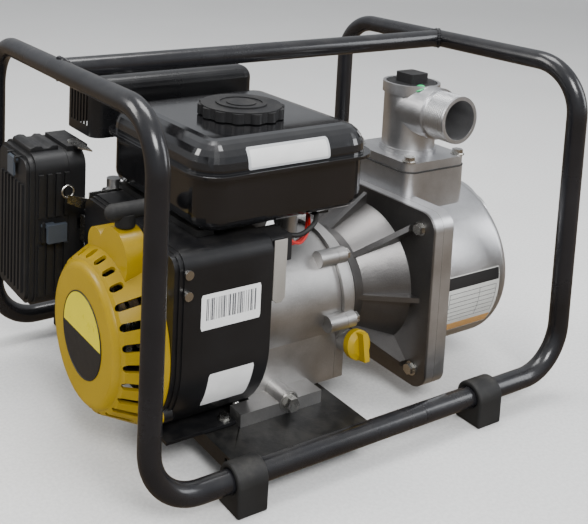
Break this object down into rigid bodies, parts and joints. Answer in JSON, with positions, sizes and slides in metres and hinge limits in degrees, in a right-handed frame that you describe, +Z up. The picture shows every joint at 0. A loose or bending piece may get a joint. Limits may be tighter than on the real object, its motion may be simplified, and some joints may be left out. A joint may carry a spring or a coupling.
{
  "type": "engine driven water pump",
  "caption": "Small air-cooled petrol engine with recoil starter driving a flanged centrifugal water pump, carried in a bent-tube frame on rubber feet.",
  "frame": {"origin": "centre of the footprint, on the floor under the rubber feet", "axes": "+X along the crankshaft from the recoil starter to the pump, +Y away from the side the discharge port faces, +Z up"},
  "size_m": [0.494, 0.369, 0.3445],
  "materials": {
    "black_paint": "satin",
    "zinc_steel": "satin",
    "machined_steel": "polished",
    "cast_alloy": "matte",
    "iron": "matte",
    "black_plastic": "matte",
    "yellow_plastic": "gloss",
    "black_rubber": "matte",
    "foam": "matte",
    "ceramic": "gloss"
  },
  "bodies": {
    "set": {"frame_hoop_left": "black_paint", "frame_hoop_right": "black_paint", "carry_bar": "black_paint", "base_plate": "black_paint", "rubber_feet": "black_rubber", "mount_bolts": "zinc_steel", "crankcase": "cast_alloy", "crankcase_cover": "cast_alloy", "engine_bolts": "zinc_steel", "cylinder_head": "cast_alloy", "rocker_cover": "black_paint", "main_bearings": "machined_steel", "connecting_rod": "cast_alloy", "piston": "cast_alloy", "blower_shroud": "black_paint", "shroud_screws": "zinc_steel", "recoil_cover": "yellow_plastic", "fuel_tank": "black_paint", "tank_straps": "black_paint", "fuel_valve": "cast_alloy", "fuel_hose": "black_rubber", "muffler": "iron", "muffler_guard": "black_paint", "air_cleaner_base": "black_plastic", "filter_element": "foam", "carburettor": "cast_alloy", "control_panel": "zinc_steel", "ignition_coil": "iron", "spark_plug": "ceramic", "spark_plug_cap": "black_rubber", "engine_switch": "black_plastic", "pump_bracket": "cast_alloy", "pump_bolts": "zinc_steel", "shaft_seal": "black_rubber", "volute": "iron", "pump_casing": "cast_alloy", "discharge_elbow": "cast_alloy", "suction_port": "cast_alloy"},
    "crank": {"crankshaft": "machined_steel", "flywheel": "iron", "starter_cup": "zinc_steel", "impeller": "iron"},
    "cam": {"camshaft": "machined_steel"},
    "starter_reel": {"recoil_reel": "black_plastic"},
    "starter_handle": {"pull_handle": "black_plastic"},
    "tank_cap": {"fuel_cap": "black_plastic"},
    "oil_cap": {"oil_filler_cap": "yellow_plastic"},
    "oil_plug": {"oil_drain_plug": "zinc_steel"},
    "prime_plug": {"priming_plug": "black_plastic"},
    "drain_plug": {"pump_drain_plug": "zinc_steel"},
    "fuel_tap": {"fuel_valve_lever": "zinc_steel"},
    "choke": {"choke_lever": "zinc_steel"},
    "throttle": {"throttle_lever": "zinc_steel"},
    "governor": {"governor_arm": "zinc_steel"},
    "speed_control": {"speed_lever": "zinc_steel"},
    "stop_switch": {"switch_rocker": "black_plastic"},
    "filter_cover": {"air_cleaner_cover": "black_plastic"},
    "clip_upper": {"cover_clip_upper": "black_plastic"},
    "clip_lower": {"cover_clip_lower": "black_plastic"},
    "suction_flap": {"check_flap": "black_rubber"}
  },
  "joints": [
    {"name": "crank_spin", "type": "hinge", "parent": "set", "child": "crank", "pos_m": [0, -0.045, 0.11], "axis": [1, 0, 0], "continuous": true},
    {"name": "cam_spin", "type": "hinge", "parent": "set", "child": "cam", "pos_m": [0, -0.045, 0.067], "axis": [1, 0, 0], "continuous": true},
    {"name": "handle_pull", "type": "slide", "parent": "set", "child": "starter_handle", "axis": [0, 0, 1], "range_m": [0, 0.24]},
    {"name": "reel_turn", "type": "hinge", "parent": "set", "child": "starter_reel", "pos_m": [-0.22, -0.045, 0.11], "axis": [1, 0, 0], "range_deg": [0, 344.77]},
    {"name": "tank_cap_lift", "type": "slide", "parent": "set", "child": "tank_cap", "axis": [0, 0, 1], "range_m": [0, 0.04]},
    {"name": "oil_cap_pull", "type": "slide", "parent": "set", "child": "oil_cap", "axis": [0, -0.9848, 0.1736], "range_m": [0, 0.035]},
    {"name": "oil_plug_pull", "type": "slide", "parent": "set", "child": "oil_plug", "axis": [0, -1, 0], "range_m": [0, 0.025]},
    {"name": "prime_plug_lift", "type": "slide", "parent": "set", "child": "prime_plug", "axis": [0, 0, 1], "range_m": [0, 0.05]},
    {"name": "drain_plug_pull", "type": "slide", "parent": "set", "child": "drain_plug", "axis": [1, 0, 0], "range_m": [0, 0.03]},
    {"name": "fuel_tap_turn", "type": "hinge", "parent": "set", "child": "fuel_tap", "pos_m": [-0.148, 0.052, 0.197], "axis": [1, 0, 0], "range_deg": [-90, 0]},
    {"name": "choke_turn", "type": "hinge", "parent": "set", "child": "choke", "pos_m": [-0.186, 0.088, 0.24], "axis": [0, 0, 1], "range_deg": [-45, 0]},
    {"name": "throttle_turn", "type": "hinge", "parent": "set", "child": "throttle", "pos_m": [-0.102, 0.07309, 0.18], "axis": [0, 0, 1], "range_deg": [-30, 18]},
    {"name": "governor_turn", "type": "hinge", "parent": "set", "child": "governor", "pos_m": [-0.07, -0.035, 0.19], "axis": [0, 0, 1], "range_deg": [-8, 13]},
    {"name": "speed_turn", "type": "hinge", "parent": "set", "child": "speed_control", "pos_m": [-0.177, 0.045, 0.186], "axis": [0, 1, 0], "range_deg": [-25, 15]},
    {"name": "switch_turn", "type": "hinge", "parent": "set", "child": "stop_switch", "pos_m": [-0.076, -0.113, 0.192], "axis": [0, 1, 0], "range_deg": [0, 12]},
    {"name": "filter_cover_slide", "type": "slide", "parent": "set", "child": "filter_cover", "axis": [-1, 0, 0], "range_m": [0, 0.06]},
    {"name": "clip_upper_turn", "type": "hinge", "parent": "filter_cover", "child": "clip_upper", "pos_m": [-0.2444, 0.103, 0.23], "axis": [0, 1, 0], "range_deg": [0, 50]},
    {"name": "clip_lower_turn", "type": "hinge", "parent": "filter_cover", "child": "clip_lower", "pos_m": [-0.225, 0.063, 0.17], "axis": [-1, 0, 0], "range_deg": [0, 50]},
    {"name": "flap_swing", "type": "hinge", "parent": "set", "child": "suction_flap", "pos_m": [0.2, -0.045, 0.174], "axis": [0, 1, 0], "range_deg": [0, 40]}
  ],
  "couplings": [
    {"joint": "cam_spin", "follows": "crank_spin", "ratio": -0.5},
    {"joint": "reel_turn", "follows": "handle_pull", "rad_per_m": 25},
    {"joint": "governor_turn", "follows": "throttle_turn", "ratio": -0.42}
  ]
}
